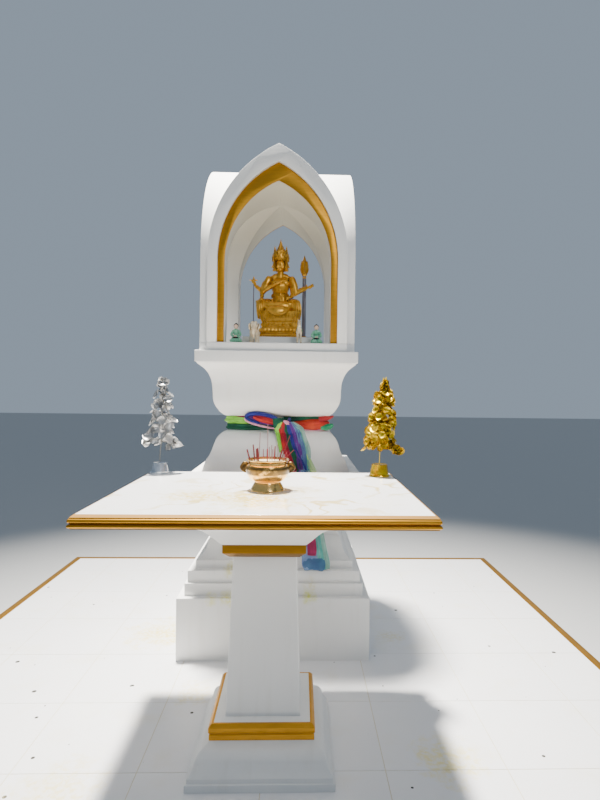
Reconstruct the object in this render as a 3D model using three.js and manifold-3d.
// Four-arched spirit house on a tiled plinth, with its offering table.
// Millimetres, +Z up, front towards -Y, origin in the middle of the plinth's underside.

import * as THREE from 'three';
import { mergeVertices } from 'three/addons/utils/BufferGeometryUtils.js';
import Module from 'manifold-3d';

const wasm = await Module();
wasm.setup();

// Clearance between pieces that meet without sharing a flat level face
const SEAM = 0.3;

// Plinth: concrete core, tiled floor and a gilt nosing round the top edge
const PLINTH_WIDTH = 3000;
const PLINTH_HEIGHT = 200;
const TILE_THICKNESS = 10;
const SIDE_TILE_THICKNESS = 8;
const NOSING_WIDTH = 40;

// Where the shrine and the table stand on the plinth
const SHRINE_Y = 370;
const TABLE_Y = -664;

// Shrine pedestal, half-widths and levels above the plinth
const BASE_HALF = 439;
const BASE_TOP = 284;
const STEPS = [
  { half: 408.5, top: 342 },
  { half: 396.6, top: 397 },
  { half: 365.6, top: 435 },
];
const SLAB_HALF = 400;
const SLAB_BOTTOM = 790;
const SLAB_TOP = 841;
const WAIST_HALF = 230;
const WAIST_TOP = 1100;
const CORNICE_HALF = 379;
const CORNICE_BOTTOM = 1359;
const CORNICE_TOP = 1412;

// Canopy: two equal pointed vaults that cross over four open arches
const SILL_TOP = 1451;
const VAULT_REACH = 366;
const VAULT_ARCH = { half: 327.5, spring: 1855, apex: 2379 };
const BAND_ARCH = { half: 281, spring: 1840, apex: 2295 };
const OPENING_ARCH = { half: 249, spring: 1825, apex: 2210 };
const BAND_RECESS = 20;
const BAND_THICKNESS = 6;
const ARC_STEPS = 8;

// Statue on its dais in the niche
const DAIS_HALF = 180;
const DAIS_FRONT = 200;
const DAIS_HEIGHT = 43.5;
const THRONE_TOP = 143;
const LAP_TOP = 203;
const NECK_LEVEL = 358;
const STAFF = { x: 127, y: 6, radius: 10, top: 347, flameTop: 456, flameHalf: 24 };
const LANCE = { x: -141, y: -4, radius: 3, top: 339, crossHalf: 23 };

// Small figures on the sill in front of the dais
const FIGURE_Y = -280;
const ATTENDANTS = [
  { name: 'attendant_left', x: -200 },
  { name: 'attendant_right', x: 186 },
];
const ELEPHANT_X = -112;
const HORSE_X = 103;

// Offering table
const FOOT_HALF = 231;
const FOOT_TOP = 121;
const FOOT_BAND_TOP = 170;
const PILLAR_HALF_BOTTOM = 121;
const PILLAR_HALF_TOP = 103;
const PILLAR_TOP = 686;
const NECK_BAND_TOP = 730;
const TABLE_BOTTOM = 841;
const TABLE_TOP = 881;
const TOP_X = -7;
const TOP_Y = 30;
const TOP_HALF_X = 500;
const TOP_HALF_Y = 406;
const EDGE_REACH = 16.5;

// What stands on the table
const POT_Y = 14;
const POT_HEIGHT = 108;
const ASH_LEVEL = 96;
const TREES = [
  { metal: 'silver', x: -467, y: 394 },
  { metal: 'gold', x: 441, y: 362 },
];
const TREE_POT_HEIGHT = 46;
const TREE_HEIGHT = 403;

// Sash tied round the waist
const SASH_HALF = 270;
const SASH_BOTTOM = 1030;
const SASH_TOP = 1106;
const KNOT_X = 12;
const TAIL_TOP = 1040;
const TAIL_THICKNESS = 8;

// Finishes
const FINISHES = {
  masonry: { color: 0xe9e8e6, roughness: 0.6, metalness: 0 },
  tile: { color: 0xf1f1ee, roughness: 0.2, metalness: 0 },
  marble: { color: 0xf3f2ec, roughness: 0.18, metalness: 0 },
  goldPaint: { color: 0xa8791a, roughness: 0.4, metalness: 0.5 },
  giltCast: { color: 0xc98f1e, roughness: 0.35, metalness: 0.8 },
  greyRod: { color: 0x6d6a6c, roughness: 0.5, metalness: 0.3 },
  ivoryGlaze: { color: 0xe6dcc6, roughness: 0.35, metalness: 0 },
  greenGlaze: { color: 0x5fae86, roughness: 0.4, metalness: 0 },
  brass: { color: 0xc8a04a, roughness: 0.2, metalness: 1 },
  joss: { color: 0xa02838, roughness: 0.9, metalness: 0 },
  silverFoil: { color: 0xd4d7da, roughness: 0.2, metalness: 1 },
  goldFoil: { color: 0xe0b422, roughness: 0.2, metalness: 1 },
  sash: { color: 0x2f7d4a, roughness: 0.7, metalness: 0 },
};

function finish(name) {
  return new THREE.MeshStandardMaterial(FINISHES[name]);
}

function piece(name, geometry, finishName) {
  const mesh = new THREE.Mesh(geometry, finish(finishName));
  mesh.name = name;
  return mesh;
}

// Turns a half-width and level profile into a body of square plan with mitred corners
function squareBody(profile) {
  const points = profile.map(([half, level]) => new THREE.Vector2(half * Math.SQRT2, level));
  const geometry = new THREE.LatheGeometry(points, 4, Math.PI / 4);
  return geometry.rotateX(Math.PI / 2);
}

// Turns a radius and level profile into a round body
function roundBody(profile, sides) {
  const points = profile.map(([radius, level]) => new THREE.Vector2(radius, level));
  return new THREE.LatheGeometry(points, sides).rotateX(Math.PI / 2);
}

function closedProfile(points) {
  return [...points, points[0]];
}

function block(halfX, halfY, bottom, top) {
  const geometry = new THREE.BoxGeometry(2 * halfX, 2 * halfY, top - bottom);
  return geometry.translate(0, 0, (bottom + top) / 2);
}

// Joins and cuts
function toSolid(geometry) {
  const bare = geometry.clone();
  bare.deleteAttribute('normal');
  bare.deleteAttribute('uv');
  const merged = mergeVertices(bare, 1e-4);
  return new wasm.Manifold(new wasm.Mesh({
    numProp: 3,
    vertProperties: new Float32Array(merged.attributes.position.array),
    triVerts: new Uint32Array(merged.index.array),
  }));
}

function toGeometry(solid) {
  const mesh = solid.getMesh();
  const geometry = new THREE.BufferGeometry();
  geometry.setAttribute('position', new THREE.BufferAttribute(mesh.vertProperties, 3));
  geometry.setIndex(new THREE.BufferAttribute(mesh.triVerts, 1));
  geometry.computeVertexNormals();
  return geometry;
}

function joined(geometries) {
  return geometries.map(toSolid).reduce((whole, part) => whole.add(part));
}

// Pointed arch of two arcs that leave the jambs upright and meet at the apex
function archPrism(arch, bottom, reach) {
  const rise = arch.apex - arch.spring;
  const radius = (rise * rise + arch.half * arch.half) / (2 * arch.half);
  const sweep = Math.atan2(rise, radius - arch.half);
  const shape = new THREE.Shape();
  shape.moveTo(arch.half, bottom);
  shape.lineTo(arch.half, arch.spring);
  shape.absarc(arch.half - radius, arch.spring, radius, 0, sweep, false);
  shape.absarc(radius - arch.half, arch.spring, radius, Math.PI - sweep, Math.PI, false);
  shape.lineTo(-arch.half, bottom);
  shape.closePath();
  const options = { depth: 2 * reach, bevelEnabled: false, curveSegments: ARC_STEPS };
  return new THREE.ExtrudeGeometry(shape, options).translate(0, 0, -reach).rotateX(Math.PI / 2);
}

// The same prism laid along Y and along X
function crossed(arch, bottom, reach) {
  const along = archPrism(arch, bottom, reach);
  return joined([along, along.clone().rotateZ(Math.PI / 2)]);
}

// Rounded masses for the figures
function ellipsoid(centre, radii, sides = 8, rings = 6) {
  const geometry = new THREE.SphereGeometry(1, sides, rings).rotateX(Math.PI / 2);
  return geometry.scale(...radii).translate(...centre);
}

function limb(from, to, radiusFrom, radiusTo, sides = 6) {
  const start = new THREE.Vector3(...from);
  const end = new THREE.Vector3(...to);
  const axis = end.clone().sub(start);
  const geometry = new THREE.CylinderGeometry(radiusTo, radiusFrom, axis.length(), sides);
  const turn = new THREE.Quaternion().setFromUnitVectors(
    new THREE.Vector3(0, 1, 0),
    axis.clone().normalize(),
  );
  const middle = start.add(end).multiplyScalar(0.5);
  return geometry.applyQuaternion(turn).translate(middle.x, middle.y, middle.z);
}

function upright(x, y, bottom, top, radius, sides = 6) {
  return limb([x, y, bottom], [x, y, top], radius, radius, sides);
}

// Closed strip through stations that give its left and right edges and its outer side
function strip(stations, thickness) {
  const corners = stations.flatMap(({ left, right, y, z, lean }) => {
    const outY = -Math.cos(lean) * thickness;
    const outZ = Math.sin(lean) * thickness;
    return [left, y, z, right, y, z, right, y + outY, z + outZ, left, y + outY, z + outZ];
  });
  const faces = [0, 2, 1, 0, 3, 2];
  for (let station = 0; station < stations.length - 1; station += 1) {
    for (let side = 0; side < 4; side += 1) {
      const a = station * 4 + side;
      const b = station * 4 + (side + 1) % 4;
      faces.push(a, b + 4, a + 4, a, b, b + 4);
    }
  }
  const last = (stations.length - 1) * 4;
  faces.push(last, last + 1, last + 2, last, last + 2, last + 3);
  const geometry = new THREE.BufferGeometry();
  geometry.setAttribute('position', new THREE.Float32BufferAttribute(corners, 3));
  geometry.setIndex(faces);
  geometry.computeVertexNormals();
  return geometry;
}

function plinth() {
  const group = new THREE.Group();
  const half = PLINTH_WIDTH / 2;
  const coreHalf = half - SIDE_TILE_THICKNESS;
  const coreTop = PLINTH_HEIGHT - TILE_THICKNESS;
  const nosingInner = half - NOSING_WIDTH;
  const nosing = closedProfile([
    [nosingInner, coreTop],
    [coreHalf + SEAM, coreTop],
    [coreHalf + SEAM, PLINTH_HEIGHT - NOSING_WIDTH],
    [half, PLINTH_HEIGHT - NOSING_WIDTH],
    [half, PLINTH_HEIGHT],
    [nosingInner, PLINTH_HEIGHT],
  ]);
  const floorHalf = nosingInner - SEAM;
  group.add(
    piece('plinth_core', block(coreHalf, coreHalf, 0, coreTop), 'masonry'),
    piece('plinth_tile_floor', block(floorHalf, floorHalf, coreTop, PLINTH_HEIGHT), 'tile'),
    piece('plinth_nosing', squareBody(nosing), 'goldPaint'),
  );
  return group;
}

function pedestal() {
  const group = new THREE.Group();
  group.add(piece('base_block', block(BASE_HALF, BASE_HALF, 0, BASE_TOP), 'masonry'));
  let level = BASE_TOP;
  STEPS.forEach(({ half, top }, index) => {
    group.add(piece(`base_step_${index + 1}`, block(half, half, level, top), 'masonry'));
    level = top;
  });
  const drum = [
    [0, level], [354, level], [349, 442], [327, 470], [308, 531], [295, 551],
    [286, 620], [292, 690], [318, 745], [352, 778], [370, SLAB_BOTTOM], [0, SLAB_BOTTOM],
  ];
  const lowerBell = [
    [0, SLAB_TOP], [346, SLAB_TOP], [343, 858], [330, 896], [315.7, 919], [304.6, 946],
    [296, 974], [284, 1001], [260, 1025], [233, 1037], [WAIST_HALF, 1045],
    [WAIST_HALF, WAIST_TOP], [0, WAIST_TOP],
  ];
  const upperBell = [
    [0, WAIST_TOP], [WAIST_HALF, WAIST_TOP], [254.7, 1107], [275.8, 1126], [296, 1158],
    [304, 1188], [306.3, 1235], [312.7, 1279], [333.7, 1321], [370, 1352.5],
    [372, CORNICE_BOTTOM], [0, CORNICE_BOTTOM],
  ];
  group.add(
    piece('lower_drum', squareBody(drum), 'masonry'),
    piece('middle_slab', block(SLAB_HALF, SLAB_HALF, SLAB_BOTTOM, SLAB_TOP), 'masonry'),
    piece('lower_bell', squareBody(lowerBell), 'masonry'),
    piece('upper_bell', squareBody(upperBell), 'masonry'),
    piece('cornice_slab', block(CORNICE_HALF, CORNICE_HALF, CORNICE_BOTTOM, CORNICE_TOP), 'masonry'),
  );
  return group;
}

// Cross-shaped plate under the four piers
function sillPlate() {
  const long = VAULT_REACH;
  const short = VAULT_ARCH.half;
  const outline = [
    [long, -short], [long, short], [short, short], [short, long], [-short, long], [-short, short],
    [-long, short], [-long, -short], [-short, -short], [-short, -long], [short, -long], [short, -short],
  ];
  const shape = new THREE.Shape(outline.map(([x, y]) => new THREE.Vector2(x, y)));
  const options = { depth: SILL_TOP - CORNICE_TOP, bevelEnabled: false };
  return new THREE.ExtrudeGeometry(shape, options).translate(0, 0, CORNICE_TOP);
}

function canopy() {
  const group = new THREE.Group();
  group.add(piece('house_sill', sillPlate(), 'masonry'));

  const below = SILL_TOP - 1;
  const opening = crossed(OPENING_ARCH, below, VAULT_REACH + 1);
  const face = VAULT_REACH - BAND_RECESS;
  const recessMiddle = face + VAULT_REACH / 2;
  let vault = crossed(VAULT_ARCH, SILL_TOP, VAULT_REACH).subtract(opening);
  const bandArch = { ...BAND_ARCH, half: BAND_ARCH.half - SEAM, apex: BAND_ARCH.apex - SEAM };
  ['front', 'right', 'back', 'left'].forEach((side, quarter) => {
    const turn = quarter * Math.PI / 2;
    const recess = archPrism(BAND_ARCH, below, VAULT_REACH / 2)
      .translate(0, -recessMiddle, 0).rotateZ(turn);
    vault = vault.subtract(toSolid(recess));
    const bandMiddle = face + SEAM + BAND_THICKNESS / 2;
    const band = archPrism(bandArch, SILL_TOP, BAND_THICKNESS / 2).translate(0, -bandMiddle, 0);
    const hole = archPrism(OPENING_ARCH, below, BAND_THICKNESS).translate(0, -bandMiddle, 0);
    const strap = toGeometry(toSolid(band).subtract(toSolid(hole))).rotateZ(turn);
    group.add(piece(`gold_band_${side}`, strap, 'goldPaint'));
  });
  group.add(piece('canopy_vault', toGeometry(vault), 'masonry'));
  return group;
}

function throne() {
  return squareBody([
    [0, 0], [106, 0], [106, 22], [99, 26], [99, 38], [105, 44], [105, 56], [94, 60],
    [90, 76], [90, 92], [94, 98], [96, 106], [100, 124], [104, THRONE_TOP], [0, THRONE_TOP],
  ]);
}

// Folded legs, cut level under the torso and on the throne
function foldedLegs() {
  const masses = joined([
    ellipsoid([-13, 8, 170], [112, 78, 38]),
    ellipsoid([-87, -30, 170], [43, 46, 37]),
    ellipsoid([61, -30, 170], [43, 46, 37]),
    limb([-95, -56, 162], [40, -72, 166], 19, 15),
  ]);
  return toGeometry(masses.intersect(toSolid(block(200, 200, THRONE_TOP, LAP_TOP))));
}

function torsoWithArms() {
  const trunk = roundBody([
    [0, LAP_TOP], [54, LAP_TOP], [48, 219], [41, 236], [39, 250], [48, 274], [60, 300],
    [64, 319], [58, 334], [36, 344], [15, 350], [14, NECK_LEVEL], [0, NECK_LEVEL],
  ], 12).scale(1, 0.68, 1);
  const masses = [trunk];
  const arm = (elbow, hand, palm) => {
    const shoulder = [Math.sign(elbow[0]) * 60, 0, 321];
    masses.push(
      ellipsoid(shoulder, [23, 20, 20], 6, 5),
      limb(shoulder, elbow, 18, 12),
      ellipsoid(elbow, [13, 13, 13], 6, 4),
      limb(elbow, hand, 11, 7.5),
      ellipsoid(hand, palm, 6, 5),
    );
  };
  arm([-92, 4, 255], [LANCE.x, LANCE.y, 293], [11, 10, 13]);
  arm([-82, -16, 262], [12, -46, 304], [15, 8, 9]);
  arm([-96, -10, 253], [-94, -34, 217], [12, 13, 9]);
  arm([80, 12, 250], [STAFF.x, STAFF.y, 286], [17, 16, 14]);
  arm([84, -16, 250], [158, -30, 284], [22, 8, 8]);
  arm([76, -8, 248], [50, -36, 225], [12, 12, 9]);
  const clearStaff = upright(STAFF.x, STAFF.y, 0, STAFF.flameTop, STAFF.radius + SEAM, 10);
  const clearLance = upright(LANCE.x, LANCE.y, 0, STAFF.flameTop, LANCE.radius + SEAM);
  const body = joined(masses).subtract(toSolid(clearStaff)).subtract(toSolid(clearLance));
  return toGeometry(body);
}

// Four faces under one tiered crown with a tall middle spire
function fourFacedHead() {
  const crown = roundBody([
    [0, 412], [34, 412], [47, 420], [47, 430], [40, 437], [42, 449], [34, 457], [36, 467],
    [25, 476], [26, 484], [15, 492], [14, 502], [7, 519], [0, 538],
  ], 12);
  const core = roundBody([[0, NECK_LEVEL], [14, NECK_LEVEL], [20, 378], [20, 416], [0, 416]], 12);
  const masses = [core, crown];
  for (let quarter = 0; quarter < 4; quarter += 1) {
    const turn = quarter * Math.PI / 2;
    masses.push(
      ellipsoid([0, -23, 394], [24, 21, 35]).rotateZ(turn),
      limb([0, -33, 445], [0, -31, 500], 11, 0.6).rotateZ(turn),
    );
  }
  return toGeometry(joined(masses));
}

function flameStaff() {
  const shaft = upright(STAFF.x, STAFF.y, 0, STAFF.top + 4, STAFF.radius, 10);
  const socket = upright(STAFF.x, STAFF.y, 0, 24, STAFF.radius + 6, 10);
  const half = STAFF.flameHalf;
  const flame = roundBody([
    [0, STAFF.top], [STAFF.radius, STAFF.top], [half * 0.8, STAFF.top + 22],
    [half, STAFF.top + 48], [half * 0.6, STAFF.top + 76], [0, STAFF.flameTop],
  ], 10).scale(1, 0.6, 1).translate(STAFF.x, STAFF.y, 0);
  return toGeometry(joined([shaft, socket, flame]));
}

function lance() {
  const shaft = upright(LANCE.x, LANCE.y, 0, LANCE.top, LANCE.radius);
  const head = LANCE.top - 22;
  const from = [LANCE.x - LANCE.crossHalf, LANCE.y, head];
  const to = [LANCE.x + LANCE.crossHalf, LANCE.y, head];
  return toGeometry(joined([shaft, limb(from, to, 3, 3)]));
}

function statue() {
  const group = new THREE.Group();
  group.position.z = SILL_TOP + DAIS_HEIGHT;
  group.add(
    piece('statue_throne', throne(), 'giltCast'),
    piece('statue_folded_legs', foldedLegs(), 'giltCast'),
    piece('statue_torso_and_arms', torsoWithArms(), 'giltCast'),
    piece('statue_four_faced_head', fourFacedHead(), 'giltCast'),
    piece('statue_flame_staff', flameStaff(), 'greyRod'),
    piece('statue_lance', lance(), 'greyRod'),
  );
  return group;
}

function attendant() {
  const masses = joined([
    ellipsoid([0, 4, 16], [25, 26, 21]),
    ellipsoid([0, 2, 46], [18, 13, 25]),
    ellipsoid([0, -11, 46], [7, 8, 11]),
    upright(0, 1, 60, 80, 5),
    ellipsoid([0, 0, 84], [11, 12, 13]),
  ]);
  return toGeometry(masses.intersect(toSolid(block(60, 60, 0, 120))));
}

function elephant() {
  const masses = [
    ellipsoid([0, 12, 68], [24, 40, 26], 10, 7),
    ellipsoid([0, -30, 90], [19, 19, 22]),
    ellipsoid([-19, -24, 86], [6, 9, 18]),
    ellipsoid([19, -24, 86], [6, 9, 18]),
    limb([0, -44, 84], [0, -53, 50]),
    limb([0, -53, 53], [0, -53, 24], 6, 4),
    limb([0, 48, 72], [0, 52, 40], 3, 2),
  ];
  for (const x of [-13, 13]) {
    masses.push(upright(x, -16, 0, 62, 9), upright(x, 36, 0, 62, 9));
  }
  return toGeometry(joined(masses));
}

function horse() {
  const masses = [
    ellipsoid([0, 12, 66], [15, 38, 18], 10, 7),
    limb([0, -14, 68], [0, -28, 100], 13, 8),
    ellipsoid([0, -30, 100], [9, 11, 11]),
    limb([0, -30, 100], [0, -50, 84], 9, 6),
    limb([-5, -26, 104], [-6, -25, 117], 3.5, 0.6),
    limb([5, -26, 104], [6, -25, 117], 3.5, 0.6),
    limb([0, 46, 74], [0, 56, 26], 6, 3),
  ];
  for (const x of [-9, 9]) {
    for (const y of [-14, 38]) {
      masses.push(limb([x, y, 0], [x, y, 60], 5.5, 6.5));
    }
  }
  return toGeometry(joined(masses));
}

function niche() {
  const group = new THREE.Group();
  const dais = block(DAIS_HALF, DAIS_FRONT, SILL_TOP, SILL_TOP + DAIS_HEIGHT);
  group.add(piece('statue_dais', dais, 'masonry'), statue());
  const figures = ATTENDANTS.map(({ name, x }) => [name, attendant(), 'greenGlaze', x]);
  figures.push(
    ['elephant_figure', elephant(), 'ivoryGlaze', ELEPHANT_X],
    ['horse_figure', horse(), 'ivoryGlaze', HORSE_X],
  );
  figures.forEach(([name, geometry, finishName, x]) => {
    const figure = piece(name, geometry, finishName);
    figure.position.set(x, FIGURE_Y, SILL_TOP);
    group.add(figure);
  });
  return group;
}

function sash() {
  const group = new THREE.Group();
  const inner = WAIST_HALF + SEAM;
  const band = closedProfile([
    [inner, 1098], [inner, 1047], [240, 1040.5], [262, SASH_BOTTOM], [SASH_HALF, 1045],
    [SASH_HALF, 1095], [262, SASH_TOP], [240, 1099.5],
  ]);
  const lump = joined([
    ellipsoid([KNOT_X, -SASH_HALF - 8, 1066], [36, 24, 42], 10, 7),
    ellipsoid([KNOT_X - 98, -SASH_HALF - 6, 1086], [76, 19, 33], 10, 7),
  ]);
  const front = new THREE.BoxGeometry(400, 100, 100);
  front.translate(0, -SASH_HALF - SEAM - 50, TAIL_TOP + 50);
  const knot = lump.intersect(toSolid(front));
  const tails = strip([
    { left: 0, right: 40, y: -SASH_HALF - SEAM, z: TAIL_TOP - SEAM, lean: 0 },
    { left: -12, right: 112, y: -273, z: 1022, lean: 0.6 },
    { left: 12, right: 128, y: -294, z: 1000, lean: 0.4 },
    { left: 35, right: 138, y: -312, z: 950, lean: 0.3 },
    { left: 55, right: 152, y: -337, z: 900, lean: 0.3 },
    { left: 68, right: 164, y: -354, z: 852, lean: 0.6 },
    { left: 76, right: 172, y: -SLAB_HALF - 1, z: SLAB_TOP + 2, lean: 0.8 },
    { left: 80, right: 178, y: -SLAB_HALF - 4, z: SLAB_TOP - 20, lean: 0 },
    { left: 104, right: 220, y: -SLAB_HALF - 7, z: 640, lean: 0 },
    { left: 128, right: 268, y: -SLAB_HALF - 7, z: 408, lean: 0 },
  ], TAIL_THICKNESS);
  group.add(
    piece('sash_band', squareBody(band), 'sash'),
    piece('sash_knot_and_loop', toGeometry(knot), 'sash'),
    piece('sash_tails', tails, 'sash'),
  );
  return group;
}

function shrine() {
  const group = new THREE.Group();
  group.position.set(0, SHRINE_Y, PLINTH_HEIGHT);
  group.add(pedestal(), canopy(), niche(), sash());
  return group;
}

function tableEdge() {
  const edge = TOP_HALF_Y;
  const reach = EDGE_REACH;
  const geometry = squareBody(closedProfile([
    [edge, TABLE_BOTTOM], [edge + 11, TABLE_BOTTOM], [edge + 13, TABLE_BOTTOM + 5],
    [edge + reach, TABLE_BOTTOM + 8], [edge + reach - 2, TABLE_BOTTOM + 13],
    [edge + 10, TABLE_BOTTOM + 15], [edge + 15, TABLE_BOTTOM + 19],
    [edge + 15, TABLE_BOTTOM + 27], [edge + 10, TABLE_TOP - 9], [edge + 11.5, TABLE_TOP - 8],
    [edge, TABLE_TOP],
  ]));
  const position = geometry.attributes.position;
  const stretch = TOP_HALF_X - TOP_HALF_Y;
  for (let vertex = 0; vertex < position.count; vertex += 1) {
    const x = position.getX(vertex);
    position.setX(vertex, x + Math.sign(x) * stretch);
  }
  return geometry;
}

function incensePot() {
  const bowl = roundBody([
    [0, 0], [59, 0], [58, 6], [45, 27], [54, 34], [71, 54], [77, 70], [77, 82], [71, 90],
    [66, 93], [66, 99], [73, 104], [73, POT_HEIGHT], [66, POT_HEIGHT], [64, ASH_LEVEL],
    [0, ASH_LEVEL],
  ], 20);
  const ears = [-1, 1].map((side) => limb([side * 66, 0, 78], [side * 96, 0, 82], 15, 5, 8));
  return toGeometry(joined([bowl, ...ears]));
}

// Incense sticks: lean and height of each one above the ash
function jossSticks() {
  const ash = roundBody([[0, ASH_LEVEL], [63, ASH_LEVEL], [63, 101], [0, 103]], 20);
  const sticks = [
    [-30, 0, 150], [-12, 10, 185], [8, -6, 228], [-46, -4, 148], [-20, -16, 152],
    [20, 8, 150], [30, -10, 146], [44, 4, 152], [12, 20, 142], [-4, 26, 146], [54, -8, 150],
  ];
  const rods = sticks.map(([x, y, top]) => limb([x, y, 99], [x * 1.3, y * 1.3, top], 1.8, 1.8, 4));
  return toGeometry(joined([ash, ...rods]));
}

// Foil wrapped round a pot that widens downward to a flared rim
function treePot() {
  return roundBody([
    [0, 0], [41, 0], [41, 4], [37, 9], [31, TREE_POT_HEIGHT - 3], [30, TREE_POT_HEIGHT],
    [0, TREE_POT_HEIGHT],
  ], 14);
}

// Cone of foil leaves in four whorls on a thin stem
function foilTree() {
  return roundBody([
    [0, TREE_POT_HEIGHT], [5, TREE_POT_HEIGHT], [5, 106], [60, 108], [86, 132], [72, 172],
    [76, 196], [56, 236], [64, 262], [42, 302], [50, 326], [28, 362], [22, 384],
    [0, TREE_HEIGHT],
  ], 12);
}

function table() {
  const group = new THREE.Group();
  group.position.set(0, TABLE_Y, PLINTH_HEIGHT);
  const foot = [
    [0, 0], [FOOT_HALF, 0], [FOOT_HALF, 24], [224.7, 24], [224.7, 38], [215, 50], [205, 84],
    [190, 104], [165, FOOT_TOP], [0, FOOT_TOP],
  ];
  const footBand = [
    [0, FOOT_TOP], [167, FOOT_TOP], [167, 137], [164, 140], [168.7, 144], [168.7, 160],
    [160, FOOT_BAND_TOP], [0, FOOT_BAND_TOP],
  ];
  const pillar = [
    [0, FOOT_BAND_TOP], [PILLAR_HALF_BOTTOM, FOOT_BAND_TOP], [PILLAR_HALF_TOP, PILLAR_TOP],
    [0, PILLAR_TOP],
  ];
  const neckBand = [
    [0, PILLAR_TOP], [115, PILLAR_TOP], [135, 703], [135, NECK_BAND_TOP], [0, NECK_BAND_TOP],
  ];
  const capital = [
    [0, NECK_BAND_TOP], [135, NECK_BAND_TOP], [150, 745], [172, 770], [190, 787], [214, 800],
    [224.7, 814], [224.7, 827], [FOOT_HALF, 827], [FOOT_HALF, TABLE_BOTTOM], [0, TABLE_BOTTOM],
  ];
  const top = block(TOP_HALF_X - SEAM, TOP_HALF_Y - SEAM, TABLE_BOTTOM, TABLE_TOP);
  const edge = tableEdge();
  [top, edge].forEach((geometry) => geometry.translate(TOP_X, TOP_Y, 0));
  group.add(
    piece('table_foot', squareBody(foot), 'masonry'),
    piece('table_foot_gold_band', squareBody(footBand), 'goldPaint'),
    piece('table_pillar', squareBody(pillar), 'masonry'),
    piece('table_neck_gold_band', squareBody(neckBand), 'goldPaint'),
    piece('table_capital', squareBody(capital), 'masonry'),
    piece('table_top', top, 'marble'),
    piece('table_edge_moulding', edge, 'goldPaint'),
  );
  const offerings = new THREE.Group();
  offerings.position.z = TABLE_TOP;
  const pot = piece('incense_pot', incensePot(), 'brass');
  pot.position.y = POT_Y;
  const sticks = piece('joss_sticks', jossSticks(), 'joss');
  sticks.position.y = POT_Y;
  offerings.add(pot, sticks);
  TREES.forEach(({ metal, x, y }) => {
    const potPiece = piece(`${metal}_tree_pot`, treePot(), `${metal}Foil`);
    const tree = piece(`${metal}_tree`, foilTree(), `${metal}Foil`);
    [potPiece, tree].forEach((part) => {
      part.position.set(x, y, 0);
      offerings.add(part);
    });
  });
  group.add(offerings);
  return group;
}

const spiritHouse = new THREE.Group();
spiritHouse.add(plinth(), shrine(), table());

export default spiritHouse;
